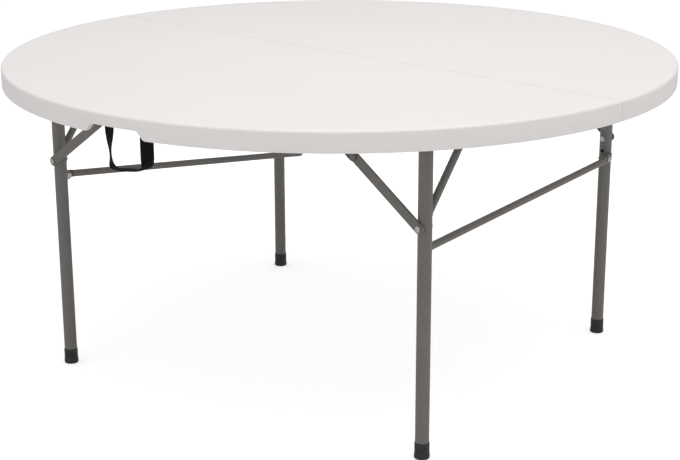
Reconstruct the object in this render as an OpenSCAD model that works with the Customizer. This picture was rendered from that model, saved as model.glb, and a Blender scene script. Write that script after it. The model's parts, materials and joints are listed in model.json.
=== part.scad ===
// Round folding table with a two-piece moulded top, four folding tube legs
// and two tie rods. The fold line runs along Y through the origin, which lies
// on the floor under the middle of the top. Half B is at +X, half A at -X.

/* [Top] */
// Diameter of the round top
top_d = 1540; // [1500:10:1600]
// Height of the top surface above the floor
top_z = 730; // [710:5:760]
// Depth of the rim, from the top surface to its lower edge
rim_h = 44; // [40:1:50]
// Thickness of the rim wall
rim_w = 14; // [10:1:18]
// Thickness of the panel inside the rim
panel_t = 14; // [10:1:18]
// Rounding of the upper edge
edge_r = 6; // [3:1:9]
// Gap between the two halves at the fold line
seam_gap = 1.2; // [0.8:0.1:2]
// Thickness of the lip of each half along the fold line
lip_w = 12; // [8:1:14]

/* [Handle notch and strap] */
// Angle of the notch from the middle of half A
notch_turn = 7.4; // [0:0.1:12]
// Width of the notch in the rim
notch_w = 158; // [140:2:180]
// Height of the notch above the rim's lower edge
notch_h = 18; // [14:1:20]
// Length of the notch's sloping ends along the rim
notch_slope = 22; // [16:1:26]
// Width of the strap webbing
strap_w = 27; // [22:1:30]
// Thickness of the strap webbing
strap_t = 2.4; // [1.6:0.2:3.2]
// Distance between the strap's two drops, centre to centre
strap_span = 98; // [80:2:110]
// Length of the strap's drop below its rivets
strap_drop = 90; // [80:2:130]
// Distance of the strap from the rim's inner wall, to its centre
strap_inset = 31; // [28:1:40]
// Radius of the strap rivets
strap_pin_r = 3; // [2:0.5:4]

/* [Legs] */
// Outer radius of a leg tube
leg_r = 14.7; // [13:0.1:16]
// Wall of the steel tubes
tube_wall = 1.3; // [1:0.1:2]
// Outer radius of the hinge tube at the top of a leg
hinge_r = 12.5; // [10:0.5:13]
// Outer radius of the foot cap
foot_r = 16.5; // [16.2:0.1:18]
// Height of the foot cap
foot_h = 36; // [28:1:44]
// Thickness of the foot cap's floor
foot_floor = 4; // [3:0.5:6]
// Distance of a leg's hinge axis below the panel
hinge_drop = 28; // [27:0.5:30]
// Distance of the four legs from the edge of the top
leg_inset = 118.8; // [110:0.2:124]
// Turn of the two middle legs from the line across the fold
mid_turn = 39.02; // [38:0.02:40]
// Turn of the two end legs from the line across the fold
end_turn = 57.48; // [57:0.02:58]
// Length of the hinge tube on the fold side of the leg
hinge_in = 185; // [170:5:200]
// Length of the hinge tube on the outer side of the leg
hinge_out = 42; // [36:1:48]
// Running clearance of every pin and tube in its hole
run_fit = 0.06; // [0.03:0.01:0.09]

/* [Braces] */
// Radius of the side brace tube
brace_r = 8; // [6:0.5:9]
// Height on the leg where the side brace starts
brace_z = 512; // [490:2:530]
// Distance from the leg to where the side brace meets the hinge tube
brace_reach = 140; // [110:5:150]
// Height of the lock link's rivet on the leg
lock_z = 500; // [480:2:510]
// Distance of the lock bracket from the leg's hinge axis
lock_b = 273; // [262:1:284]
// Width of the lower lock link
low_w = 21; // [18:1:24]
// Depth of the lower lock link's channel
low_t = 5.5; // [5:0.5:9]
// Width of the upper lock link
up_w = 18; // [16:1:20]
// Depth of the upper lock link's channel
up_t = 4.5; // [4.5:0.5:6]
// Sheet thickness of links and brackets
sheet = 1.6; // [1.2:0.1:2.2]
// Radius of the rivets
rivet_r = 4; // [3:0.5:5]
// Side gap between parts that turn beside each other
side_gap = 0.5; // [0.3:0.1:0.8]

/* [Tie rods] */
// Radius of a tie rod
rod_r = 8; // [6:0.5:9]
// Height of the rod's rivet on the leg
rod_z = 456; // [440:1:458]
// Distance of the rod's rivet from the leg's axis, towards the fold line
rod_in = 26; // [25:0.5:28]
// Distance of the rod's rivet from the leg's axis, on the leg's outer side
rod_out = 24.5; // [24:0.5:26]
// Distance of a rod's tip from the axis of the leg it points to
rod_short = 27.9; // [26:0.1:38]
// Thickness of a rod's flattened ends
rod_flat = 4; // [3:0.5:5]
// Angle by which the hooked front rod points past the leg's axis
rod_aim = 1.8; // [1.3:0.02:2.2]
// Droop of the hooked front rod
hook_droop = 1.3; // [0:0.1:2]
// Droop of the loose rear rod
rod_droop = 7.4; // [4:0.1:9]
// Angle at which a stowed rod lies under its half
rod_stow = 62; // [60:1:64]

/* [Fold hinges] */
// Height of the fold axis below the rim's lower edge
fold_drop = 28; // [24:1:30]
// Distance of each fold hinge from the centre
fold_y = 320; // [260:10:340]
// Outer radius of a hinge knuckle
knuckle_r = 7; // [6:0.5:8]
// Half length of the middle knuckle
knuckle_l = 10; // [8:1:14]
// Side of the square centre rail
rail_w = 20; // [16:1:22]
// Half length of the centre rail
rail_l = 560; // [480:10:600]

/* [Fasteners and clips] */
// Radius of a screw head
head_r = 4.5; // [4:0.5:6]
// Height of a screw head
head_h = 2.4; // [2:0.2:3]
// Radius of a screw shank
shank_r = 2; // [1.5:0.25:2.5]
// Length of a screw in the panel
shank_l = 9; // [6:0.5:9.5]
// Width of a saddle along the hinge tube
saddle_w = 20; // [16:1:22]
// Wall of a saddle round the hinge tube
saddle_wall = 3; // [2.4:0.2:4]
// Half span of the saddle's ears
saddle_ear = 32; // [30:1:36]
// Distance of a leg clip from the hinge axis, along the stowed leg
clip_s = 560; // [520:10:600]

/* [Hidden] */
$fn = 48;

top_r = top_d / 2;
panel_z = top_z - panel_t;
rim_z = top_z - rim_h;
inner_r = top_r - rim_w;
hinge_z = panel_z - hinge_drop;
fold_z = rim_z - fold_drop;
half_gap = seam_gap / 2;
lip_x = half_gap + lip_w;
rail_x = lip_x + 3;
rim_foot_r = 3;

// Places of the legs of half B, on one ring inside the edge
leg_ring = top_r - leg_inset;
mid_x = leg_ring * cos(mid_turn);
mid_y = leg_ring * sin(mid_turn);
end_x = leg_ring * cos(end_turn);
end_y = leg_ring * sin(end_turn);

// Lock links: straight at rest, folded one over the other when the leg is stowed
lock_a = hinge_z - lock_z;
lock_d = sqrt(lock_a * lock_a + lock_b * lock_b);
low_l = (lock_d + lock_b - lock_a) / 2;
up_l = lock_d - low_l;
lock_rise = atan2(lock_a, lock_b);
low_x = leg_r + 0.8;
up_x = low_x + low_t + side_gap;
ear_x = up_x + up_t + side_gap;
ear_t = 3;
plate_t = 2.5;
rivet_head_r = rivet_r + 2.5;
rivet_head_h = 2.3;
hole_r = rivet_r + run_fit;

// Saddles along the hinge tube, measured from the leg
saddle_out = hinge_out - 2 - saddle_w / 2;
saddle_in = -(hinge_in - 4 - saddle_w / 2);
ear_screw = saddle_ear - head_r - 1.5;
saddle_r = hinge_r + run_fit + saddle_wall;

// Tie rods
rod_dx = mid_x - rod_in + end_x;
rod_dy = end_y - mid_y - rod_out;
rod_len = sqrt(rod_dx * rod_dx + rod_dy * rod_dy) - rod_short;
rod_yaw = atan2(rod_dy, rod_dx) - rod_aim;
rod_flat_l = 26;
rod_roll = atan(cos(rod_stow) * sin(rod_yaw)
  / (cos(rod_stow) * cos(rod_yaw) * sin(hook_droop) - sin(rod_stow) * cos(hook_droop)));
latch_z = rod_z;
latch_r = 5.5;
spare_z = rod_z + 14.5;
spare_r = 4;
bracket_h = 8.8;
bracket_y = -rod_flat / 2 - 0.4;
bracket_w = 17;
rod_end_r = 8.5;
cut = 1;

// Strap
strap_rad = inner_r - strap_inset;
strap_z = rim_z + notch_h - 4;
strap_bend = 18;
strap_clear = 0.3;
tab_t = 2;

STEEL = [0.40, 0.385, 0.37];
PLASTIC = [0.92, 0.91, 0.905];
BLACK = [0.06, 0.06, 0.06];
ZINC = [0.62, 0.62, 0.61];

// Cylinder along X from x1 to x2 at height z
module along_x(x1, x2, r, y = 0, z = 0) {
  translate([x1, y, z]) rotate([0, 90, 0]) cylinder(r = r, h = x2 - x1);
}

// Places of the two legs of half B: the middle leg folds to +Y, the end leg to -Y
module at_mid() { translate([mid_x, -mid_y, 0]) children(); }
module at_end() { translate([end_x, end_y, 0]) mirror([0, 1, 0]) children(); }
module each_leg() {
  at_mid() children();
  at_end() children();
}
// Half A is half B turned half a turn about the middle of the table
module turned() { rotate([0, 0, 180]) children(); }
module notch_frame() { rotate([0, 0, 180 + notch_turn]) children(); }

// Screws of one leg, in the leg's frame, and of the centre rail
leg_screws = [
  for (x = [saddle_out, saddle_in], y = [-ear_screw, ear_screw]) [x, y],
  [ear_x + ear_t + 9, lock_b - 10],
  [ear_x + ear_t + 9, lock_b + 10]
];
rail_end = 30;
rail_screw_y = [-rail_l + rail_end, -rail_l / 3, rail_l / 3, rail_l - rail_end];

module screw_holes() {
  z0 = panel_z - plate_t - cut;
  each_leg() for (p = leg_screws)
    translate([p[0], p[1], z0]) cylinder(r = shank_r + run_fit, h = plate_t + cut + shank_l, $fn = 24);
  for (y = rail_screw_y)
    translate([rail_x + rail_w / 2, y, panel_z - rail_w - cut])
      cylinder(r = shank_r + run_fit, h = rail_w + cut + shank_l, $fn = 24);
}

module top_profile() {
  square_r = top_r - edge_r;
  translate([0, panel_z]) square([square_r, panel_t]);
  translate([inner_r, rim_z + rim_foot_r]) square([rim_w, rim_h - rim_foot_r - edge_r]);
  translate([inner_r + rim_foot_r, rim_z]) square([rim_w - 2 * rim_foot_r, rim_foot_r + cut]);
  translate([inner_r + rim_foot_r, rim_z + rim_foot_r]) circle(r = rim_foot_r);
  translate([top_r - rim_foot_r, rim_z + rim_foot_r]) circle(r = rim_foot_r);
  translate([square_r, top_z - edge_r]) circle(r = edge_r);
}

module top_half() {
  difference() {
    union() {
      intersection() {
        rotate_extrude($fn = 180) top_profile();
        translate([half_gap, -top_r - cut, 0]) cube([top_r + 2 * cut, 2 * top_r + 2 * cut, top_z + cut]);
      }
      intersection() {
        translate([0, 0, rim_z]) cylinder(r = inner_r + cut, h = panel_z - rim_z + cut, $fn = 180);
        translate([half_gap, -top_r, rim_z]) cube([lip_w, 2 * top_r, panel_z - rim_z + cut]);
      }
    }
    screw_holes();
  }
}

// Slot through the rim with two sloping ends
module notch_cut() {
  half = notch_w / 2;
  deep = rim_w + 20;
  translate([inner_r - 10, 0, rim_z]) rotate([90, 0, 90]) linear_extrude(height = deep)
    polygon([
      [-half, -deep], [-half, 0], [-half + notch_slope, notch_h],
      [half - notch_slope, notch_h], [half, 0], [half, -deep]
    ]);
}

module strap_screws_cut() {
  for (s = [-1, 1])
    notch_frame() translate([strap_rad, s * (strap_span / 2 - 16), panel_z - plate_t - cut])
      cylinder(r = shank_r + run_fit, h = plate_t + cut + shank_l, $fn = 24);
}

module top_half_a() {
  color(PLASTIC) difference() {
    turned() top_half();
    notch_frame() notch_cut();
    strap_screws_cut();
  }
}
module top_half_b() { color(PLASTIC) top_half(); }

// Square tube under the panel beside the fold line, carries the fold hinges
module centre_rail() {
  color(STEEL) difference() {
    translate([rail_x, -rail_l, panel_z - rail_w]) cube([rail_w, 2 * rail_l, rail_w]);
    translate([rail_x + tube_wall, -rail_l - cut, panel_z - rail_w + tube_wall])
      cube([rail_w - 2 * tube_wall, 2 * (rail_l + cut), rail_w - 2 * tube_wall]);
    screw_holes();
  }
}
module centre_rail_a() { turned() centre_rail(); }
module centre_rail_b() { centre_rail(); }

// Arm from the rail's underside down to a knuckle on the fold axis
module fold_arm(y1, y2) {
  rail_foot = panel_z - rail_w;
  difference() {
    translate([0, y2, 0]) rotate([90, 0, 0]) linear_extrude(height = y2 - y1) union() {
      translate([0, fold_z]) circle(r = knuckle_r);
      polygon([
        [rail_x, rail_foot], [rail_x + rail_w + 14, rail_foot], [rail_x + rail_w + 14, rail_foot - 3],
        [rail_x + rail_w, rail_foot - 10], [3, fold_z - 5], [-3, fold_z + 3], [rail_x, rim_z - 6]
      ]);
    }
    translate([0, y1 - cut, fold_z]) rotate([-90, 0, 0]) cylinder(r = hole_r, h = y2 - y1 + 2 * cut);
  }
}
outer_k = knuckle_l + 0.3;
module fold_leaves_a() {
  color(ZINC) for (y = [-fold_y, fold_y]) translate([0, y, 0]) turned() fold_arm(-knuckle_l, knuckle_l);
}
module fold_leaves_b() {
  color(ZINC) for (y = [-fold_y, fold_y], s = [-1, 1])
    translate([0, y + s * (outer_k + knuckle_l), 0]) fold_arm(-knuckle_l, knuckle_l);
}
module fold_pins() {
  half = outer_k + 2 * knuckle_l + 0.3;
  color(ZINC) for (y = [-fold_y, fold_y]) translate([0, y, fold_z]) rotate([90, 0, 0]) {
    cylinder(r = rivet_r, h = 2 * half, center = true);
    for (s = [-1, 1]) translate([0, 0, s * (half + 1)]) cylinder(r = rivet_r + 2, h = 2, center = true);
  }
}

// Pillow block that holds the hinge tube under the panel
module saddle(x) {
  z1 = panel_z - plate_t;
  translate([x - saddle_w / 2, 0, 0]) difference() {
    union() {
      translate([0, -saddle_ear, z1]) cube([saddle_w, 2 * saddle_ear, plate_t]);
      translate([0, -saddle_r, hinge_z]) cube([saddle_w, 2 * saddle_r, z1 - hinge_z + 0.5]);
      along_x(0, saddle_w, saddle_r, 0, hinge_z);
    }
    along_x(-cut, saddle_w + cut, hinge_r + run_fit, 0, hinge_z);
    for (y = [-ear_screw, ear_screw])
      translate([saddle_w / 2, y, z1 - cut]) cylinder(r = shank_r + run_fit, h = plate_t + 2 * cut, $fn = 24);
  }
}
module leg_saddles() {
  color(STEEL) each_leg() for (x = [saddle_out, saddle_in]) saddle(x);
}
module leg_saddles_a() { turned() leg_saddles(); }
module leg_saddles_b() { leg_saddles(); }

// Angle bracket with the fixed pin of the upper link
module lock_bracket() {
  base_w = 20;
  half_l = 16;
  difference() {
    union() {
      translate([ear_x, lock_b - half_l, panel_z - plate_t]) cube([ear_t + base_w, 2 * half_l, plate_t]);
      translate([ear_x, lock_b - 12, hinge_z]) cube([ear_t, 24, panel_z - hinge_z - cut]);
      along_x(ear_x, ear_x + ear_t, 12, lock_b, hinge_z);
    }
    for (p = [leg_screws[4], leg_screws[5]])
      translate([p[0], p[1], panel_z - plate_t - cut]) cylinder(r = shank_r + run_fit, h = plate_t + 2 * cut, $fn = 24);
  }
  along_x(up_x + 0.2, ear_x + cut, rivet_r, lock_b, hinge_z);
  along_x(ear_x + ear_t - 0.5, ear_x + ear_t + rivet_head_h, rivet_head_r, lock_b, hinge_z);
}
module lock_brackets_a() { color(STEEL) turned() each_leg() lock_bracket(); }
module lock_brackets_b() { color(STEEL) each_leg() lock_bracket(); }

// Fork that steadies a stowed leg
module leg_clip() {
  gap = leg_r + 0.5;
  wall = 3;
  translate([0, clip_s, 0]) {
    translate([-gap - wall, -9, panel_z - 5]) cube([2 * (gap + wall), 18, 5]);
    for (s = [-1, 1]) translate([s * (gap + wall / 2) - wall / 2, -9, hinge_z - 8]) cube([wall, 18, panel_z - hinge_z + 4]);
  }
}
module leg_clips_a() { color(BLACK) turned() each_leg() leg_clip(); }
module leg_clips_b() { color(BLACK) each_leg() leg_clip(); }

module screw(z) {
  translate([0, 0, z - head_h]) cylinder(r = head_r, h = head_h, $fn = 24);
  translate([0, 0, z - 0.2]) cylinder(r = shank_r, h = panel_z + shank_l - z - 0.3, $fn = 24);
}
module half_screws() {
  each_leg() for (p = leg_screws) translate([p[0], p[1], 0]) screw(panel_z - plate_t);
  for (y = rail_screw_y) translate([rail_x + rail_w / 2, y, 0]) screw(panel_z - rail_w);
}
module screws_a() {
  color(ZINC) turned() half_screws();
  color(ZINC) for (s = [-1, 1])
    notch_frame() translate([strap_rad, s * (strap_span / 2 - 16), 0]) screw(panel_z - plate_t);
}
module screws_b() { color(ZINC) half_screws(); }

// Carrying strap: a loop of webbing that hangs from two rivets inside the notch
tab_x = strap_span / 2 - strap_t / 2 - strap_clear - tab_t;
module strap_brackets() {
  color(ZINC) for (s = [0, 1]) notch_frame() translate([strap_rad, 0, 0]) mirror([0, s, 0]) difference() {
    union() {
      translate([-12, tab_x - 22, panel_z - plate_t]) cube([24, 22 + tab_t, plate_t]);
      translate([-9, tab_x, strap_z]) cube([18, tab_t, panel_z - strap_z - cut]);
      translate([0, tab_x, strap_z]) rotate([-90, 0, 0]) cylinder(r = 9, h = tab_t);
    }
    translate([0, tab_x - cut, strap_z]) rotate([-90, 0, 0]) cylinder(r = strap_pin_r + run_fit, h = tab_t + 2 * cut);
    translate([0, strap_span / 2 - 16, panel_z - plate_t - cut])
      cylinder(r = shank_r + run_fit, h = plate_t + 2 * cut, $fn = 24);
  }
}
module strap_rivets() {
  out = strap_span / 2 + strap_t / 2 + strap_clear;
  color(ZINC) for (s = [0, 1]) notch_frame() translate([strap_rad, 0, strap_z]) mirror([0, s, 0]) rotate([-90, 0, 0]) {
    translate([0, 0, tab_x - 2]) cylinder(r = strap_pin_r + 1.5, h = 2);
    translate([0, 0, tab_x - 0.2]) cylinder(r = strap_pin_r, h = out - tab_x + 0.4);
    translate([0, 0, out]) cylinder(r = strap_pin_r + 2.5, h = 1.6);
  }
}
module strap_outline(grow) {
  r = strap_bend + grow;
  half = strap_span / 2 + grow;
  foot = -strap_drop - grow;
  translate([-half, foot + r]) square([2 * half, strap_drop + grow - r]);
  translate([-half + r, foot]) square([2 * (half - r), r + cut]);
  for (s = [-1, 1]) translate([s * (half - r), foot + r]) circle(r = r);
}
module carry_strap() {
  half_t = strap_t / 2;
  color(BLACK) notch_frame() translate([strap_rad, 0, strap_z]) difference() {
    union() {
      translate([-strap_w / 2, 0, 0]) rotate([90, 0, 90]) linear_extrude(height = strap_w)
        difference() {
          strap_outline(half_t);
          translate([0, cut]) strap_outline(-half_t);
          translate([-strap_span, 0]) square([2 * strap_span, 10]);
        }
      for (s = [-1, 1]) translate([0, s * strap_span / 2 - half_t, 0]) rotate([-90, 0, 0])
        cylinder(r = strap_w / 2, h = strap_t);
    }
    rotate([90, 0, 0]) cylinder(r = strap_pin_r + strap_clear, h = 2 * strap_span, center = true);
  }
}

// Leg parts, in the leg's frame: +Y is the way it folds, the fold line is at -X
module rod_frame(yaw, droop, roll) {
  translate([-rod_in, -rod_out, rod_z])
    rotate([0, 0, 180 + yaw]) rotate([0, droop, 0]) rotate([roll, 0, 0]) children();
}
module leg_body() {
  difference() {
    translate([0, 0, foot_floor]) cylinder(r = leg_r, h = hinge_z - foot_floor);
    translate([0, 0, foot_floor - cut]) cylinder(r = leg_r - tube_wall, h = hinge_z - foot_floor + 2 * cut);
    along_x(-leg_r - cut, leg_r + cut, hinge_r, 0, hinge_z);
    along_x(-leg_r - cut, leg_r + cut, hole_r, 0, lock_z);
    children();
  }
}
module mid_leg() {
  color(STEEL) leg_body() translate([0, 0, spare_z]) rotate([0, -90, 0]) cylinder(r = spare_r, h = leg_r + cut);
}
module end_leg() {
  color(STEEL) leg_body() translate([0, 0, latch_z]) rotate([0, -90, -49]) cylinder(r = latch_r, h = leg_r + cut);
}
module hinge_tube() {
  color(STEEL) difference() {
    along_x(-hinge_in, hinge_out, hinge_r, 0, hinge_z);
    along_x(-hinge_in - cut, hinge_out + cut, hinge_r - tube_wall, 0, hinge_z);
  }
}
module side_brace() {
  rise = hinge_z - brace_z;
  long = sqrt(rise * rise + brace_reach * brace_reach);
  color(STEEL) difference() {
    translate([0, 0, brace_z]) rotate([0, -atan2(brace_reach, rise), 0]) difference() {
      cylinder(r = brace_r, h = long);
      translate([0, 0, -cut]) cylinder(r = brace_r - tube_wall, h = long + 2 * cut);
    }
    translate([0, 0, brace_z - 4 * brace_r]) cylinder(r = leg_r, h = 14 * brace_r);
    along_x(-hinge_in, hinge_out, hinge_r, 0, hinge_z);
  }
}
module foot() {
  edge = 3;
  color(BLACK) rotate_extrude() difference() {
    union() {
      square([foot_r - edge, edge + cut]);
      translate([0, edge]) square([foot_r, foot_h - edge - 1]);
      translate([foot_r - edge, edge]) circle(r = edge);
      square([foot_r - 1, foot_h]);
    }
    translate([-edge * 4, -edge]) square([edge * 4, foot_h + 2 * edge]);
    translate([0, foot_floor]) square([leg_r, foot_h]);
  }
}
module lock_rivet() {
  web = low_x + low_t;
  color(ZINC) {
    along_x(-leg_r - 2.2, -leg_r - 0.2, rivet_head_r, 0, lock_z);
    along_x(-leg_r - 1, web + 1, rivet_r, 0, lock_z);
    along_x(leg_r + 0.3, web - sheet - 0.2, rivet_r + 3, 0, lock_z);
    along_x(web + 0.2, web + 0.2 + rivet_head_h, rivet_head_r, 0, lock_z);
  }
}
// Pressed channel with round ends, from the origin along +Y, its web at x = web
module channel(long, w, t, web, inner) {
  cut_x = web > 0 ? -cut : sheet;
  difference() {
    union() {
      translate([0, 0, -w / 2]) cube([t, long, w]);
      for (y = [0, long]) along_x(0, t, w / 2, y);
    }
    translate([cut_x, 0, -inner / 2]) cube([t - sheet + cut, long, inner]);
    for (y = [0, long]) along_x(cut_x, cut_x + t - sheet + cut, inner / 2, y);
  }
}
module lower_link() {
  color(STEEL) translate([low_x, 0, lock_z]) rotate([lock_rise, 0, 0]) difference() {
    union() {
      channel(low_l, low_w, low_t, 1, low_w - 2 * sheet);
      along_x(low_t - sheet - rivet_head_h, low_t - sheet + 0.4, rivet_head_r, low_l);
    }
    along_x(-cut, low_t + cut, hole_r);
  }
}
module upper_link() {
  color(STEEL) translate([up_x, lock_b, hinge_z]) rotate([180 + lock_rise, 0, 0]) difference() {
    union() {
      channel(up_l, up_w, up_t, 0, up_w - 2 * sheet);
      along_x(sheet - 0.4, up_t, rivet_head_r, up_l);
    }
    along_x(-cut, up_t + cut, hole_r);
  }
}
// Block welded to the leg that carries the rivet of a tie rod
module rod_bracket(yaw, droop, roll) {
  color(STEEL) difference() {
    rod_frame(yaw, droop, roll) difference() {
      union() {
        translate([-rod_in, bracket_y - bracket_w, -bracket_h]) cube([rod_in, bracket_w, 2 * bracket_h]);
        translate([0, bracket_y, 0]) rotate([90, 0, 0]) cylinder(r = bracket_h, h = bracket_w);
      }
      rotate([90, 0, 0]) cylinder(r = hole_r, h = 3 * bracket_w, center = true);
    }
    translate([0, 0, rod_z - 4 * bracket_h]) cylinder(r = leg_r, h = 8 * bracket_h);
  }
}
module rod_rivet(yaw, droop, roll) {
  inner = bracket_w - bracket_y + 0.2;
  outer = rod_flat / 2 + 0.2;
  color(ZINC) rod_frame(yaw, droop, roll) rotate([90, 0, 0]) {
    translate([0, 0, -outer - 1]) cylinder(r = rivet_r, h = inner + outer + 2);
    translate([0, 0, -outer - rivet_head_h]) cylinder(r = rivet_head_r, h = rivet_head_h);
    translate([0, 0, inner]) cylinder(r = rivet_head_r, h = rivet_head_h);
  }
}
module tie_rod(yaw, droop, roll) {
  color(STEEL) rod_frame(yaw, droop, roll) difference() {
    union() {
      rotate([90, 0, 0]) cylinder(r = rod_end_r, h = rod_flat, center = true);
      translate([0, -rod_flat / 2, -rod_end_r]) cube([rod_flat_l, rod_flat, 2 * rod_end_r]);
      along_x(rod_flat_l - 4, rod_len - rod_flat_l + 4, rod_r);
      translate([rod_len - rod_flat_l, -rod_flat / 2, -rod_r]) cube([rod_flat_l - rod_r, rod_flat, 2 * rod_r]);
      translate([rod_len - rod_r, 0, 0]) rotate([90, 0, 0]) cylinder(r = rod_r, h = rod_flat, center = true);
    }
    rotate([90, 0, 0]) cylinder(r = hole_r, h = 2 * rod_flat, center = true);
    translate([rod_flat_l, 0, 0]) along_x(0, rod_len - 2 * rod_flat_l, rod_r - tube_wall);
  }
}

top_half_a();
top_half_b();
centre_rail_a();
centre_rail_b();
fold_leaves_a();
fold_leaves_b();
fold_pins();
leg_saddles_a();
leg_saddles_b();
lock_brackets_a();
lock_brackets_b();
leg_clips_a();
leg_clips_b();
screws_a();
screws_b();
strap_brackets();
strap_rivets();
carry_strap();
turned() at_end() end_leg();  // leg_tube_front_left
at_mid() mid_leg();  // leg_tube_front_right
turned() at_mid() mid_leg();  // leg_tube_rear_left
at_end() end_leg();  // leg_tube_rear_right
turned() at_end() hinge_tube();  // hinge_tube_front_left
at_mid() hinge_tube();  // hinge_tube_front_right
turned() at_mid() hinge_tube();  // hinge_tube_rear_left
at_end() hinge_tube();  // hinge_tube_rear_right
turned() at_end() side_brace();  // side_brace_front_left
at_mid() side_brace();  // side_brace_front_right
turned() at_mid() side_brace();  // side_brace_rear_left
at_end() side_brace();  // side_brace_rear_right
turned() at_end() foot();  // foot_front_left
at_mid() foot();  // foot_front_right
turned() at_mid() foot();  // foot_rear_left
at_end() foot();  // foot_rear_right
turned() at_end() lock_rivet();  // lock_rivet_front_left
at_mid() lock_rivet();  // lock_rivet_front_right
turned() at_mid() lock_rivet();  // lock_rivet_rear_left
at_end() lock_rivet();  // lock_rivet_rear_right
turned() at_end() lower_link();  // lower_link_front_left
at_mid() lower_link();  // lower_link_front_right
turned() at_mid() lower_link();  // lower_link_rear_left
at_end() lower_link();  // lower_link_rear_right
turned() at_end() upper_link();  // upper_link_front_left
at_mid() upper_link();  // upper_link_front_right
turned() at_mid() upper_link();  // upper_link_rear_left
at_end() upper_link();  // upper_link_rear_right
at_mid() rod_bracket(rod_yaw, hook_droop, rod_roll);  // rod_bracket_front
turned() at_mid() rod_bracket(0, 0, 0);  // rod_bracket_rear
at_mid() rod_rivet(rod_yaw, hook_droop, rod_roll);  // rod_rivet_front
turned() at_mid() rod_rivet(0, rod_droop, 0);  // rod_rivet_rear
at_mid() tie_rod(rod_yaw, hook_droop, rod_roll);  // tie_rod_front
turned() at_mid() tie_rod(0, rod_droop, 0);  // tie_rod_rear
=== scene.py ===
import json
import math
import bpy
import numpy as np
from mathutils import Matrix, Vector


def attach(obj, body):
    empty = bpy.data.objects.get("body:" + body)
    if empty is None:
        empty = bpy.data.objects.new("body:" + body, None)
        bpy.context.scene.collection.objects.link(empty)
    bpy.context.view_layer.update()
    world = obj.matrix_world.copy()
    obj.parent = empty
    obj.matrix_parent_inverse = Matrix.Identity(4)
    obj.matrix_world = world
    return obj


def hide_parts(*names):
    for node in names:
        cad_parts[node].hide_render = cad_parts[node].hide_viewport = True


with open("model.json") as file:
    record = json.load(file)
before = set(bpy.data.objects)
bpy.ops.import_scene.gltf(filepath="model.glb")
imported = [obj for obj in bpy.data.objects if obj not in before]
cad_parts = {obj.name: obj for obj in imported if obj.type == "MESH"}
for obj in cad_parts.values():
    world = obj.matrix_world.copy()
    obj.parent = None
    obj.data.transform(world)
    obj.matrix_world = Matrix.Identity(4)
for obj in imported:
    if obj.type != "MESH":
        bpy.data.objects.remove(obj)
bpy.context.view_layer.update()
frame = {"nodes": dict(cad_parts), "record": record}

nodes = frame["nodes"]

# Stage
# White studio: a wide floor, an even white dome and one large soft box above.
# The camera stands where the photograph was taken, 3.6 m off and a little above the top.
scene = bpy.context.scene
scene.view_settings.view_transform = "Standard"
CAM_TURN = math.radians(47.5)
CAM_DOWN = 0.30214
CAM_ROLL = -0.00287
CAM_BACK = 3.61449
CAM_HIGH = 1.42493
SENSOR_MM, FOCAL_PX, PHOTO_W_PX = 36, 1578.01, 680

right = Vector((math.cos(CAM_TURN), -math.sin(CAM_TURN), 0))
ahead = Vector((math.sin(CAM_TURN), math.cos(CAM_TURN), 0))
look = ahead * math.cos(CAM_DOWN) - Vector((0, 0, 1)) * math.sin(CAM_DOWN)
up = right.cross(look)
roll_c, roll_s = math.cos(CAM_ROLL), math.sin(CAM_ROLL)
cam_x = right * roll_c + up * roll_s
cam_y = up * roll_c - right * roll_s
camera = bpy.data.objects.new("camera", bpy.data.cameras.new("camera"))
scene.collection.objects.link(camera)
camera.data.sensor_width = SENSOR_MM
camera.data.sensor_fit = "HORIZONTAL"
camera.data.lens = SENSOR_MM * FOCAL_PX / PHOTO_W_PX
camera.data.clip_start = 0.1
camera.data.clip_end = 60
turn = Matrix((cam_x, cam_y, -look)).transposed().to_4x4()
camera.matrix_world = Matrix.Translation(Vector((0, 0, CAM_HIGH)) - ahead * CAM_BACK) @ turn
scene.camera = camera


def area_light(name, size, power, place, target):
    """Square soft box of that size in metres and power in watts, at place, facing target."""
    lamp = bpy.data.lights.new(name, "AREA")
    lamp.shape = "SQUARE"
    lamp.size = size
    lamp.energy = power
    obj = bpy.data.objects.new(name, lamp)
    scene.collection.objects.link(obj)
    obj.location = place
    obj.rotation_euler = (Vector(target) - Vector(place)).to_track_quat("-Z", "Y").to_euler()
    return obj


area_light("box_above", 3.2, 53, (-0.2, -0.5, 3.3), (0, 0, 0.5))
front_place = -ahead * 3.2 - right * 2.4 + Vector((0, 0, 1.3))
area_light("box_front", 2.0, 8, front_place, (0, 0, 0.45))
right_place = -ahead * 1.6 + right * 3.4 + Vector((0, 0, 1.0))
area_light("box_right", 2.0, 7, right_place, (0, 0, 0.5))


class Val:
    """A shader socket that can be added and multiplied: each operator adds one Math node."""

    def __init__(self, tree, socket):
        self.tree, self.socket = tree, socket

    def math(self, kind, a, b=0.0):
        """Adds a Math node of that kind on a and b, each a Val or a number."""
        n = self.tree.nodes.new("ShaderNodeMath")
        n.operation = kind
        for where, v in zip(n.inputs, (a, b)):
            if isinstance(v, Val):
                self.tree.links.new(v.socket, where)
            else:
                where.default_value = v
        return Val(self.tree, n.outputs[0])

    def __add__(self, other):
        return self.math("ADD", self, other)

    def __radd__(self, other):
        return self.math("ADD", other, self)

    def __mul__(self, other):
        return self.math("MULTIPLY", self, other)

    def __rmul__(self, other):
        return self.math("MULTIPLY", other, self)

    def sin(self):
        return self.math("SINE", self)


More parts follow.
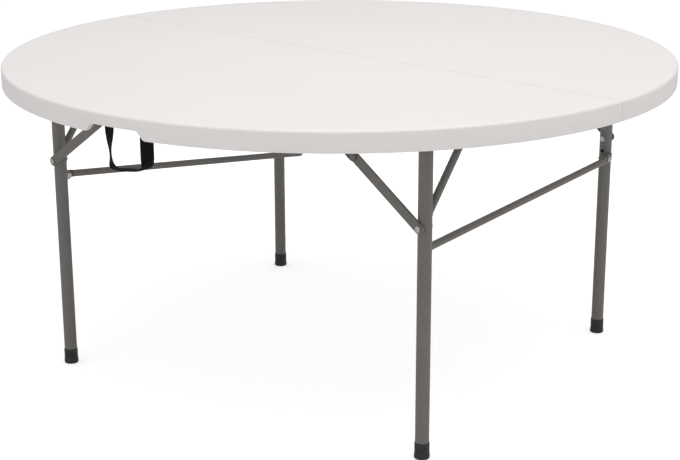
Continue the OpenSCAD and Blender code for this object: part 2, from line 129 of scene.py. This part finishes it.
class Paint:
    """One material: a Principled shader whose sockets take constants or Vals."""

    def __init__(self, name, colour, rough, metal=0.0, sheen=0.0):
        self.mat = bpy.data.materials.new(name)
        self.mat.use_nodes = True
        self.tree = self.mat.node_tree
        self.shader = self.tree.nodes["Principled BSDF"]
        self.put("Base Color", (*colour, 1))
        self.put("Roughness", rough)
        self.put("Metallic", metal)
        self.put("Sheen Weight", sheen)

    def put(self, socket, value):
        """Sets a socket of the shader to a constant, or links a Val to it."""
        where = self.shader.inputs[socket]
        if isinstance(value, Val):
            self.tree.links.new(value.socket, where)
        else:
            where.default_value = value

    def add(self, kind, out, **inputs):
        """Adds a node of that kind, sets its inputs, and gives its output out as a Val."""
        n = self.tree.nodes.new("ShaderNode" + kind)
        for key, v in inputs.items():
            where = n.inputs[key.replace("_", " ")]
            if isinstance(v, Val):
                self.tree.links.new(v.socket, where)
            else:
                where.default_value = v
        return Val(self.tree, n.outputs[out])

    def place(self):
        """Position on the piece, in metres."""
        return self.add("TexCoord", "Object")

    def noise(self, scale, detail):
        """Soft noise from 0 to 1 with that many waves per metre and that many finer layers."""
        return self.add("TexNoise", 0, Vector=self.place(), Scale=scale, Detail=detail)

    def blend(self, low, high, amount):
        """Colour that runs from low to high as amount runs from 0 to 1."""
        n = self.tree.nodes.new("ShaderNodeMix")
        n.data_type = "RGBA"
        n.inputs[6].default_value = (*low, 1)
        n.inputs[7].default_value = (*high, 1)
        self.tree.links.new(amount.socket, n.inputs[0])
        return Val(self.tree, n.outputs[2])

    def bump(self, height, depth, strength=1.0):
        """Raises the surface by height (0 to 1) times depth in metres."""
        self.put("Normal", self.add("Bump", 0, Height=height, Distance=depth, Strength=strength))


# The floor is near white and keeps the table's soft shadow; straight to the camera it is
# lifted a little, so that it meets the plain white background without an edge.
floor_paint = Paint("floor_paint", (0.93, 0.93, 0.93), 0.9)
ray_kind = floor_paint.add("LightPath", "Is Camera Ray")
floor_paint.put("Emission Color", floor_paint.blend((0, 0, 0), (0.52, 0.52, 0.52), ray_kind))
floor_paint.put("Emission Strength", 1.0)
floor_paint.put("Specular IOR Level", 0.0)
bpy.ops.mesh.primitive_plane_add(size=60)
floor = bpy.context.object
floor.name = "floor"
floor.data.materials.append(floor_paint.mat)

world = bpy.data.worlds.new("world")
scene.world = world
world.use_nodes = True
sky = world.node_tree
dome = sky.nodes["Background"]
dome.inputs["Color"].default_value = (1, 1, 1, 1)
dome.inputs["Strength"].default_value = 0.55
plain = sky.nodes.new("ShaderNodeBackground")
plain.inputs["Color"].default_value = (1, 1, 1, 1)
plain.inputs["Strength"].default_value = 1.0
rays = sky.nodes.new("ShaderNodeLightPath")
pick = sky.nodes.new("ShaderNodeMixShader")
seen = Val(sky, rays.outputs["Is Camera Ray"])
sky.links.new(seen.socket, pick.inputs["Fac"])
sky.links.new(dome.outputs[0], pick.inputs[1])
sky.links.new(plain.outputs[0], pick.inputs[2])
sky.links.new(pick.outputs[0], sky.nodes["World Output"].inputs["Surface"])


# Moulded top
# The two halves of the top are blow-moulded polyethylene, warm off-white with a fine pebbled
# skin: a flat panel, a 44 mm rim rounded over at the top, a lip along the fold line, and rows
# of round dimples below where the lower skin touches the upper one. They meet at the seam.
TOP_R, TOP_Z, PANEL_Z, RIM_Z = 0.770, 0.730, 0.716, 0.686
INNER_R, HALF_GAP, LIP = 0.756, 0.0006, 0.012
EDGE_R, RIM_FOOT_R, FILLET_R = 0.006, 0.003, 0.004
STRETCH = 0.024      # the rim's walls stretch over this height where the notch lifts its edge
SUNK = 0.004         # the lip's top runs this far into the panel
NOTCH_AT, NOTCH_HALF, NOTCH_H, NOTCH_SLOPE = math.radians(7.4), 0.079, 0.018, 0.022
DIMPLE_PITCH, DIMPLE_R, DIMPLE_H, DIMPLE_CLEAR = 0.046, 0.013, 0.003, 0.014
ROW_SHARE, RAIL_CLEAR, RIM_CLEAR = 0.866, 0.075, 0.022
TURN_STEP, NOTCH_REACH, NOTCH_MARGIN = math.radians(1.25), 0.112, 0.003

moulded = Paint("moulded_top", (0.83, 0.805, 0.79), 0.46)
cloud = moulded.noise(3.0, 3.0)
moulded.put("Base Color", moulded.blend((0.830, 0.799, 0.788), (0.858, 0.828, 0.817), cloud))
grain = moulded.add("TexVoronoi", "Distance", Vector=moulded.place(), Scale=620.0)
fine = moulded.noise(1900.0, 1.0)
moulded.put("Roughness", 0.42 + 0.10 * moulded.noise(40.0, 2.0))
moulded.bump(grain * 0.8 + fine * 0.4, 0.00009, 0.55)


def make_mesh(name, parts, paint, body, stands_for):
    """One smooth-shaded piece from parts, each (points, faces), riding on a CAD body."""
    points, faces, start = [], [], 0
    for part_points, part_faces in parts:
        points.append(np.asarray(part_points, float))
        faces += [tuple(int(i) + start for i in face) for face in part_faces]
        start += len(part_points)
    mesh = bpy.data.meshes.new(name)
    mesh.from_pydata(np.vstack(points).tolist(), [], faces)
    mesh.polygons.foreach_set("use_smooth", [True] * len(faces))
    mesh.validate()
    mesh.update()
    mesh.materials.append(paint.mat)
    obj = bpy.data.objects.new(name, mesh)
    scene.collection.objects.link(obj)
    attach(obj, body)
    if stands_for:
        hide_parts(*stands_for)
    return obj


def split_edges(obj, degrees):
    """Keeps edges sharper than that angle crisp on a smooth-shaded piece."""
    mod = obj.modifiers.new("edges", "EDGE_SPLIT")
    mod.split_angle = math.radians(degrees)


def grid_faces(rows, cols, close_rows=False, close_cols=False):
    """Quads of a rows x cols grid of points, wrapped round where asked."""
    r = np.arange(rows if close_rows else rows - 1)
    c = np.arange(cols if close_cols else cols - 1)
    r, c = [v.ravel() for v in np.meshgrid(r, c, indexing="ij")]
    r2, c2 = (r + 1) % rows, (c + 1) % cols
    return np.stack([r * cols + c, r2 * cols + c, r2 * cols + c2, r * cols + c2], 1)


def outward(part):
    """The part with its faces turned to point out: then the sum of a . (b x c) over its triangles
    a, b, c, which is six times its volume, is positive."""
    pts, faces = np.asarray(part[0], float), part[1]
    fans = [(f[0], f[k], f[k + 1]) for f in faces for k in range(1, len(f) - 1)]
    a, b, c = pts[np.array(fans)].transpose(1, 0, 2)
    if (a * np.cross(b, c)).sum() > 0:
        return pts, faces
    return pts, [tuple(reversed(f)) for f in faces]


def moved(part, matrix):
    """The part with its points multiplied by a 4 x 4 matrix."""
    m = np.array(matrix)
    pts = np.asarray(part[0], float) @ m[:3, :3].T + m[:3, 3]
    return outward((pts, part[1]))


def arc(cx, cz, r, a0, a1, n):
    """Points of an arc about (cx, cz) from angle a0 to a1 in degrees."""
    a = np.radians(np.linspace(a0, a1, n))
    return list(zip(cx + r * np.cos(a), cz + r * np.sin(a)))


def notch_rise(t):
    """Height of the notch at t metres along the rim from its middle. Over its sloping ends it is
    u * u * (3 - 2 u) of the full height, with u from 0 to 1 along the slope."""
    u = np.clip((NOTCH_HALF - np.abs(t)) / NOTCH_SLOPE, 0, 1)
    return NOTCH_H * u * u * (3 - 2 * u)


def dimple(x, y):
    """Rise of the underside at (x, y): rows of round dimples on a 46 mm triangular pitch, kept off
    the rail, the rim and the fittings. At the distance d from a dimple's middle it is
    3 mm * u * u * (3 - 2 u), with u = 1 - d / 13 mm."""
    row_pitch = DIMPLE_PITCH * ROW_SHARE
    row = np.round(y / row_pitch)
    shift = (row % 2) * DIMPLE_PITCH / 2
    col = np.round((x - shift) / DIMPLE_PITCH)
    d = np.hypot(x - shift - col * DIMPLE_PITCH, y - row * row_pitch)
    u = np.clip(1 - d / DIMPLE_R, 0, 1)
    cx, cy = shift + col * DIMPLE_PITCH, row * row_pitch
    keep = (cx > RAIL_CLEAR) & (np.hypot(cx, cy) < INNER_R - RIM_CLEAR)
    for x0, x1, y0, y1 in FITTINGS:
        inside_x = (cx > x0 - DIMPLE_CLEAR) & (cx < x1 + DIMPLE_CLEAR)
        inside_y = (cy > y0 - DIMPLE_CLEAR) & (cy < y1 + DIMPLE_CLEAR)
        keep &= ~(inside_x & inside_y)
    return DIMPLE_H * np.where(keep, u * u * (3 - 2 * u), 0)


# The four legs stand on one ring. Of the plain half, the middle leg folds to +Y and the end leg
# to -Y, which is the third number here.
LEG_RING, MID_TURN, END_TURN = 0.6512, math.radians(39.02), math.radians(57.48)
MID_X, MID_Y = LEG_RING * math.cos(MID_TURN), LEG_RING * math.sin(MID_TURN)
END_X, END_Y = LEG_RING * math.cos(END_TURN), LEG_RING * math.sin(END_TURN)
LEGS = ((MID_X, -MID_Y, 1), (END_X, END_Y, -1))

# Places of fittings under the plain half, seen from each leg: two saddles across the hinge tube,
# then the lock bracket and the leg clip, which lie along the stowed leg.
SADDLES_AT, SADDLE_HALF_W, SADDLE_EAR = (0.030, -0.171), 0.010, 0.032
BRACKET_SPAN, BRACKET_ACROSS = (0.256, 0.290), (0.026, 0.050)
CLIP_SPAN, CLIP_ACROSS = (0.550, 0.570), (-0.019, 0.019)
FITTINGS = []
for leg_x, leg_y, way in LEGS:
    for dx in SADDLES_AT:
        mid = leg_x + dx
        FITTINGS.append((mid - SADDLE_HALF_W, mid + SADDLE_HALF_W,
                         leg_y - SADDLE_EAR, leg_y + SADDLE_EAR))
    for span, across in ((BRACKET_SPAN, BRACKET_ACROSS), (CLIP_SPAN, CLIP_ACROSS)):
        ends = sorted(leg_y + way * reach for reach in span)
        FITTINGS.append((leg_x + across[0], leg_x + across[1], *ends))


def half_top(notched):
    """Half of the top as one closed skin. Ring i of the profile has radius r and height z; its
    points run over s in -1..1 at the angle s * acos(gap / r), so each ring ends on the seam plane.
    The notched half has its lower ring points raised by notch_rise along the rim."""
    foot_z = RIM_Z + RIM_FOOT_R
    outer = [(r, TOP_Z) for r in np.linspace(HALF_GAP, TOP_R - EDGE_R, 24)]
    outer += arc(TOP_R - EDGE_R, TOP_Z - EDGE_R, EDGE_R, 90, 0, 9)[1:]
    outer += [(TOP_R, RIM_Z + STRETCH), (TOP_R, foot_z)]
    outer += arc(TOP_R - RIM_FOOT_R, foot_z, RIM_FOOT_R, 0, -90, 5)[1:]
    outer += arc(INNER_R + RIM_FOOT_R, foot_z, RIM_FOOT_R, -90, -180, 5)
    outer += [(INNER_R, RIM_Z + STRETCH)]
    outer += arc(INNER_R - FILLET_R, PANEL_Z - FILLET_R, FILLET_R, 0, 90, 4)
    rings = np.linspace(INNER_R - FILLET_R, HALF_GAP, 116)[1:]
    profile = np.array(outer + [(r, PANEL_Z) for r in rings])
    angles = np.arange(-72, 73) * TURN_STEP
    if notched:
        near = NOTCH_AT + np.linspace(-NOTCH_REACH, NOTCH_REACH, 57)
        far = np.abs(angles - NOTCH_AT) > NOTCH_REACH + NOTCH_MARGIN
        angles = np.concatenate([angles[far], near])
    s = np.sort(angles) / (math.pi / 2)
    s[0], s[-1] = -1, 1
    reach = np.arccos(np.clip(HALF_GAP / profile[:, 0], -1, 1))
    ang = reach[:, None] * s[None, :]
    x = profile[:, :1] * np.cos(ang)
    y = profile[:, :1] * np.sin(ang)
    z = np.repeat(profile[:, 1:], len(s), 1)
    first_under = len(outer)
    z[first_under:] += dimple(x[first_under:], y[first_under:])
    if notched:
        low = (profile[:, 1] < RIM_Z + 1.5 * RIM_FOOT_R)[:, None]
        along = (ang - NOTCH_AT) * TOP_R
        z = z + np.where(low, notch_rise(along), 0)
    rows, cols = len(profile), len(s)
    pts = np.stack([x, y, z], -1).reshape(-1, 3)
    faces = [tuple(f) for f in grid_faces(rows, cols)]
    ends = [i * cols + cols - 1 for i in range(rows)] + [i * cols for i in reversed(range(rows))]
    return outward((pts, faces + [tuple(ends)]))


def lip_bar():
    """Lip along the seam: a bar with its two lower edges rounded by 2 mm, swept along Y."""
    x0, x1, r = HALF_GAP, HALF_GAP + LIP, 0.002
    section = [(x0, PANEL_Z + SUNK), (x0, RIM_Z + r)]
    section += arc(x0 + r, RIM_Z + r, r, 180, 270, 4)[1:]
    section += arc(x1 - r, RIM_Z + r, r, 270, 360, 4)
    section += [(x1, PANEL_Z + SUNK)]
    n = len(section)
    reach = INNER_R + SUNK / 2
    pts = np.insert(np.tile(section, (2, 1)), 1, np.repeat([-reach, reach], n), 1)
    faces = [tuple(f) for f in grid_faces(2, n, close_cols=True)]
    return outward((pts, faces + [tuple(range(n)), tuple(range(2 * n - 1, n - 1, -1))]))


HALF_TURN = Matrix.Rotation(math.pi, 4, "Z")
for half, body in (("b", "half_b"), ("a", "half_a")):
    skin, bar = half_top(half == "a"), lip_bar()
    if half == "a":
        skin, bar = moved(skin, HALF_TURN), moved(bar, HALF_TURN)
    top = make_mesh("moulded_top_" + half, [skin, bar], moulded, body,
                    ["top_half_" + half])
    split_edges(top, 40)

# Steel tubes and fittings
# Legs, hinge tubes, side braces, tie rods, rails, saddles, brackets and lock links: welded steel
# tube and pressed sheet with a warm mid-grey powder coat, which has a slight orange peel.
coat = Paint("grey_powder_coat", (0.155, 0.145, 0.134), 0.42)
shade = coat.noise(9.0, 3.0)
coat.put("Base Color", coat.blend((0.142, 0.133, 0.122), (0.170, 0.159, 0.148), shade))
coat.put("Roughness", 0.36 + 0.14 * coat.noise(60.0, 2.0))
coat.bump(coat.noise(420.0, 2.0), 0.00012, 0.5)

# Screws, rivets, fold hinges and strap brackets: bright zinc plate, a little dulled.
zinc = Paint("zinc_plate", (0.50, 0.50, 0.485), 0.34, metal=1.0)
zinc.put("Base Color", zinc.blend((0.42, 0.42, 0.405), (0.56, 0.56, 0.545), zinc.noise(120.0, 3.0)))
zinc.put("Roughness", 0.28 + 0.18 * zinc.noise(300.0, 2.0))
zinc.bump(zinc.noise(900.0, 1.0), 0.00004, 0.4)

# Foot caps and leg clips: moulded black plastic with a faint grain.
black = Paint("black_plastic", (0.018, 0.018, 0.018), 0.45)
black.put("Roughness", 0.38 + 0.2 * black.noise(80.0, 2.0))
black.bump(black.noise(1200.0, 2.0), 0.00006, 0.5)

SLOTS = {"grey_paint": coat, "zinc": zinc, "black_plastic": black}
for part in frame["record"]["subparts"]:
    if part["material_slot"] in SLOTS:
        cad = nodes[part["node"]]
        cad.data.materials.clear()
        cad.data.materials.append(SLOTS[part["material_slot"]].mat)


# Foot caps
# Black plastic cups pushed on the tube ends, with a flared sole, three grooves round the side
# and a shallow ring in the sole. The leg tube stands inside on the cap's floor.
FOOT_R, FOOT_H, LEG_R, FOOT_FLOOR = 0.0165, 0.036, 0.0147, 0.004
WALL_IN, GROOVE_IN, GROOVES = 0.0006, 0.0013, (0.0145, 0.0195, 0.0245)
SOLE_ROUND, BORE_R = 0.0022, LEG_R + 0.00005
FEET = {"front_left": (-END_X, -END_Y), "front_right": (MID_X, -MID_Y),
        "rear_left": (-MID_X, MID_Y), "rear_right": (END_X, END_Y)}


def capped_faces(rows, turns):
    """Faces of rows rings of turns points each, closed by two more points: the first of the two
    closes the first ring and the second the last one."""
    faces = [tuple(f) for f in grid_faces(rows, turns, close_cols=True)]
    faces += [(rows * turns, j, (j + 1) % turns) for j in range(turns)]
    last = (rows - 1) * turns
    return faces + [(rows * turns + 1, last + (j + 1) % turns, last + j) for j in range(turns)]


def lathe(profile, turns):
    """Closed piece of revolution about Z from (radius, z) points that start and end on the axis.
    Point k of turn j is (r cos a, r sin a, z) with a = 2 pi j / turns."""
    a = np.linspace(0, 2 * np.pi, turns, endpoint=False)
    inner = np.asarray(profile[1:-1], float)
    pts = np.stack([
        np.outer(inner[:, 0], np.cos(a)),
        np.outer(inner[:, 0], np.sin(a)),
        np.repeat(inner[:, 1:], turns, 1),
    ], -1).reshape(-1, 3)
    pts = np.vstack([pts, [[0, 0, profile[0][1]]], [[0, 0, profile[-1][1]]]])
    return pts, capped_faces(len(inner), turns)


def foot_profile():
    """(radius, z) of a foot cap from the middle of its sole round to the middle of its floor."""
    wall_r, groove_r = FOOT_R - WALL_IN, FOOT_R - GROOVE_IN
    prof = [(0, 0.0008), (0.0085, 0.0008), (0.0092, 0.0)]
    prof += arc(FOOT_R - SOLE_ROUND, SOLE_ROUND, SOLE_ROUND, -90, 0, 5)
    prof += [(FOOT_R, 0.0085), (wall_r, 0.0100)]
    for z in GROOVES:
        prof += [(wall_r, z - 0.0012), (groove_r, z - 0.0006)]
        prof += [(groove_r, z + 0.0006), (wall_r, z + 0.0012)]
    prof += [(wall_r, FOOT_H - 0.0016), (FOOT_R - 0.0012, FOOT_H - 0.0004)]
    prof += [(LEG_R + 0.0003, FOOT_H), (BORE_R, FOOT_H - 0.0004)]
    return prof + [(BORE_R, FOOT_FLOOR), (0, FOOT_FLOOR)]


for where, (fx, fy) in FEET.items():
    cap = moved(lathe(foot_profile(), 64), Matrix.Translation((fx, fy, 0)))
    foot = make_mesh("foot_cap_" + where, [cap], black, "leg_" + where,
                     ["foot_" + where])
    split_edges(foot, 30)

# Screws
# Pan-head screws with a cross recess, zinc plated, driven up into the top from below. They hold
# the saddles, brackets, rails and strap brackets. Each head is a low dome, its recess four arms.
SCREW_HEAD, SCREW_TALL, SHANK_R, SHANK_L = 0.0045, 0.0024, 0.002, 0.009
RECESS, ARM_HALF, ARM_L, SCREW_TURNS = 0.0011, 0.00048, 0.0026, 48


def screw_part(x, y, z, turned):
    """Screw hanging head down at (x, y), its head's upper face at z. The head's dome is swept round
    48 steps; a point at radius r and angle a is pushed in by 1.1 mm inside the cross
    min(|r cos a|, |r sin a|) < 0.48 mm, r < 2.6 mm."""
    radii = [0.0009, 0.0014, 0.0019, 0.0024, 0.0028, 0.0034, 0.0040, 0.0044]
    a = np.linspace(0, 2 * np.pi, SCREW_TURNS, endpoint=False) + turned
    rows = []
    for r in radii:
        drop = SCREW_TALL * math.sqrt(max(0.0, 1 - 0.62 * (r / SCREW_HEAD) ** 2))
        local = a - turned
        arm = np.minimum(np.abs(r * np.cos(local)), np.abs(r * np.sin(local)))
        sunk = (arm < ARM_HALF) & (r < ARM_L)
        rows.append(np.stack([r * np.cos(a), r * np.sin(a), -drop + RECESS * sunk], 1))
    lower = [(SCREW_HEAD, -0.0011), (SCREW_HEAD, 0.0)]
    lower += [(SHANK_R, 0.0), (SHANK_R, SHANK_L - 0.001), (0.0006, SHANK_L)]
    for r, up_by in lower:
        rows.append(np.stack([r * np.cos(a), r * np.sin(a), up_by + 0 * a], 1))
    pts = np.vstack(rows + [[[0, 0, -SCREW_TALL + RECESS]], [[0, 0, SHANK_L]]])
    return outward((pts + np.array([x, y, z]), capped_faces(len(rows), SCREW_TURNS)))


PLATE, RAIL_W, RAIL_X, RAIL_L = 0.0025, 0.020, 0.0256, 0.560
SADDLE_SCREW, BRACKET_SCREW_X, BRACKET_SCREWS = 0.026, 0.0385, (0.263, 0.283)
STRAP_R, STRAP_SCREW = 0.725, 0.033
screw_spots = []
for leg_x, leg_y, way in LEGS:
    for dx in SADDLES_AT:
        for dy in (-SADDLE_SCREW, SADDLE_SCREW):
            screw_spots.append((leg_x + dx, leg_y + dy, PANEL_Z - PLATE))
    for s in BRACKET_SCREWS:
        screw_spots.append((leg_x + BRACKET_SCREW_X, leg_y + way * s, PANEL_Z - PLATE))
for y in (-RAIL_L + 0.030, -RAIL_L / 3, RAIL_L / 3, RAIL_L - 0.030):
    screw_spots.append((RAIL_X, y, PANEL_Z - RAIL_W))
rng = np.random.default_rng(7)
for half in ("a", "b"):
    sign = -1 if half == "a" else 1
    spots = [(sign * x, sign * y, z) for x, y, z in screw_spots]
    if half == "a":
        cos_n, sin_n = math.cos(NOTCH_AT), math.sin(NOTCH_AT)
        for t in (-STRAP_SCREW, STRAP_SCREW):
            spots.append((-STRAP_R * cos_n + t * sin_n, -STRAP_R * sin_n - t * cos_n,
                          PANEL_Z - PLATE))
    parts = [screw_part(x, y, z, rng.uniform(0, 1.5)) for x, y, z in spots]
    heads = make_mesh("screws_" + half + "_cross", parts, zinc, "half_" + half,
                      ["screws_" + half])
    split_edges(heads, 30)

# Welds
# Fillet welds where each side brace meets its leg and hinge tube, and where the leg tube is
# coped to the hinge tube: a bead 3 mm thick that follows the meeting line of the two tubes.
HINGE_Z, HINGE_R, BRACE_R = 0.688, 0.0125, 0.008
BRACE_Z, BRACE_REACH = 0.512, 0.140
BEAD_R, BEAD_STEPS, BEAD_SIDES = 0.0016, 72, 10


def bead(centre, axis, radius, other, other_axis, other_r):
    """Bead round a tube of that radius where it meets another tube: for each angle the point of
    the tube's wall at which the distance from the other tube's axis equals its radius. Its own
    section is a circle whose radius ripples by a tenth, as sin(2.1 k) at step k."""
    axis, other_axis = Vector(axis).normalized(), Vector(other_axis).normalized()
    u = axis.orthogonal().normalized()
    v = axis.cross(u)
    axis, other_axis, u, v = np.array(axis), np.array(other_axis), np.array(u), np.array(v)
    step = np.arange(BEAD_STEPS)
    a = 2 * np.pi * step[:, None] / BEAD_STEPS
    side = u * np.cos(a) + v * np.sin(a)
    wall = np.array(centre) + side * radius
    start = wall - np.array(other)
    p = start - np.outer(start @ other_axis, other_axis)
    q = axis - other_axis * (axis @ other_axis)
    qa, qb, qc = q @ q, 2 * p @ q, (p * p).sum(1) - other_r ** 2
    reach = (-qb + np.sqrt(np.maximum(qb ** 2 - 4 * qa * qc, 0))) / (2 * qa)
    line = wall + np.outer(reach, axis)
    along = np.roll(line, -1, 0) - np.roll(line, 1, 0)
    along /= np.linalg.norm(along, axis=1, keepdims=True)
    e1 = side - along * (side * along).sum(1, keepdims=True)
    e1 /= np.linalg.norm(e1, axis=1, keepdims=True)
    e2 = np.cross(along, e1)
    ripple = BEAD_R * (1 + 0.10 * np.sin(2.1 * step))
    b = np.linspace(0, 2 * np.pi, BEAD_SIDES, endpoint=False)[:, None]
    ring = e1[:, None] * np.cos(b) + e2[:, None] * np.sin(b)
    pts = (line[:, None] + ring * ripple[:, None, None]).reshape(-1, 3)
    return outward((pts, [tuple(f) for f in grid_faces(BEAD_STEPS, BEAD_SIDES, True, True)]))


for where, (fx, fy) in FEET.items():
    side = -1 if fx > 0 else 1
    foot_of = Vector((fx, fy, BRACE_Z))
    head_of = Vector((fx + side * BRACE_REACH, fy, HINGE_Z))
    slope = head_of - foot_of
    down = (0, 0, -1)
    welds = [
        bead(foot_of, slope, BRACE_R, foot_of, (0, 0, 1), LEG_R),
        bead(head_of, -slope, BRACE_R, head_of, (1, 0, 0), HINGE_R),
        bead((fx, fy, HINGE_Z), down, LEG_R - 0.0003, (fx, fy, HINGE_Z), (1, 0, 0), HINGE_R),
    ]
    make_mesh("welds_" + where, welds, coat, "leg_" + where, [])

# Carrying strap
# 27 mm black polypropylene webbing, a loop hung from two rivets behind the notch. It is limp:
# both drops are turned part of the way round and the bottom run sags a little.
STRAP_Z, STRAP_W, STRAP_T = 0.700, 0.027, 0.0014
STRAP_HALF, STRAP_DROP, STRAP_TAIL, STRAP_BEND = 0.049, 0.090, 0.011, 0.016
STRAP_RISE, FIRST_TURN, SECOND_TURN = 0.10, math.radians(-36), math.radians(-50)
FIRST_AT, FIRST_SPREAD = 0.071, 0.034
SECOND_FROM, SECOND_TO, FROM_SOFT, TO_SOFT = 0.025, 0.086, 0.003, 0.007

webbing = Paint("black_webbing", (0.006, 0.006, 0.006), 0.85, sheen=0.02)
uv = webbing.add("UVMap", 0)
length_way = webbing.add("SeparateXYZ", "X", Vector=uv)
width_way = webbing.add("SeparateXYZ", "Y", Vector=uv)
rib_height_and_groove_shade = (length_way * 2800.0 + (width_way * 5200.0).sin() * 1.6).sin() * 0.5 + 0.5
yarn = (width_way * 5200.0).sin() * 0.5 + 0.5
# The webbing's colour follows the rib height: lighter on the ribs' tops and darker in the grooves
# between them. This is painted shade in the grooves, in step with the bump.
webbing.put("Base Color", webbing.blend((0.002, 0.002, 0.002), (0.008, 0.008, 0.008), rib_height_and_groove_shade))
webbing.put("Roughness", 0.70 + 0.15 * yarn)
webbing.put("Specular IOR Level", 0.15)
webbing.bump(rib_height_and_groove_shade * 0.7 + yarn * 0.3, 0.0003, 0.9)


def strap_line():
    """Centre line of the webbing in the notch's frame: (t, z) with t along the rim, the angle of
    its width, 0 across the rim, and the length s from its first end. It runs down the first drop,
    round a bend, along the bottom and up again. The bottom run sags by 1 mm and rises 9 mm towards
    the second drop. The width turns by 36 degrees * exp(-((s - 71 mm) / 34 mm)^2) on the first
    drop, and by 50 degrees between 25 mm and 86 mm from the second end, with soft steps."""
    r, b = STRAP_BEND, -STRAP_DROP
    knots = [(-STRAP_HALF, STRAP_TAIL), (-STRAP_HALF, b + r)]
    knots += [(-STRAP_HALF + r - r * math.cos(a), b + r - r * math.sin(a))
              for a in np.linspace(0.15, math.pi / 2, 8)]
    knots += [(t, b - 0.001 * math.cos(t / 0.033 * math.pi / 2))
              for t in np.linspace(-0.025, 0.025, 7)]
    knots += [(STRAP_HALF - r + r * math.sin(a), b + r - r * math.cos(a))
              for a in np.linspace(0, math.pi / 2 - 0.15, 8)]
    knots += [(STRAP_HALF, b + r), (STRAP_HALF, STRAP_TAIL)]
    k = np.array(knots)
    d = np.r_[0, np.cumsum(np.hypot(*np.diff(k, axis=0).T))]
    s = np.linspace(0, d[-1], 240)
    t, z = np.interp(s, d, k[:, 0]), np.interp(s, d, k[:, 1])
    z = z + STRAP_RISE * t * np.clip((STRAP_TAIL - z) / 0.041, 0, 1)
    for _ in range(6):
        t[1:-1] = (t[:-2] + 2 * t[1:-1] + t[2:]) / 4
        z[1:-1] = (z[:-2] + 2 * z[1:-1] + z[2:]) / 4
    first = np.exp(-((s - FIRST_AT) / FIRST_SPREAD) ** 2)
    back = d[-1] - s
    second = 1 / (1 + np.exp(-(back - SECOND_FROM) / FROM_SOFT))
    second = second / (1 + np.exp((back - SECOND_TO) / TO_SOFT))
    return t, z, FIRST_TURN * first + SECOND_TURN * second, s


def strap_mesh():
    """Webbing of 1.4 mm swept along strap_line: at each step the section is a flat oval,
    width * w + thickness * n, with w the turned width direction and n square to it and the line.
    Both ends are cut round about their rivets: half the width is sqrt(13.5^2 - height^2) there."""
    t, z, twist, s = strap_line()
    edge = np.linspace(-1, 1, 13)
    across = np.r_[edge, edge[::-1]]
    face = np.repeat([1.0, -1.0], len(edge)) * np.where(np.abs(across) > 0.99, 0.55, 1.0)
    above = np.clip(STRAP_TAIL - np.minimum(s, s[-1] - s), 0, None)
    half = np.sqrt((STRAP_W / 2) ** 2 - above ** 2)
    centre = np.stack([0 * t, t, z], 1)
    line = np.gradient(centre, axis=0)
    line /= np.linalg.norm(line, axis=1, keepdims=True)
    rim_way = np.array([1.0, 0, 0])
    turn = twist[:, None]
    w = rim_way * np.cos(turn) + np.cross(line, rim_way) * np.sin(turn)
    n = np.cross(line, w)
    out = half[:, None] * across
    pts = centre[:, None] + w[:, None] * out[..., None]
    pts = pts + n[:, None] * face[:, None] * STRAP_T / 2
    uvs = np.stack([np.repeat(s[:, None], len(across), 1), out], -1)
    m = len(across)
    faces = [tuple(f) for f in grid_faces(len(t), m, close_cols=True)]
    last = (len(t) - 1) * m
    faces += [tuple(range(m)), tuple(range(last + m - 1, last - 1, -1))]
    return pts.reshape(-1, 3), faces, uvs.reshape(-1, 2), s[-1]


pts, faces, uvs, strap_len = strap_mesh()
place = Matrix.Rotation(math.pi + NOTCH_AT, 4, "Z") @ Matrix.Translation((STRAP_R, 0, STRAP_Z))
skin = moved((pts, faces), place)
strap = make_mesh("webbing_strap", [skin], webbing, "carry_strap", ["carry_strap"])
corners = np.empty(len(strap.data.loops), int)
strap.data.loops.foreach_get("vertex_index", corners)
layer = strap.data.uv_layers.new(name="along_across")
layer.data.foreach_set("uv", uvs[corners].ravel())
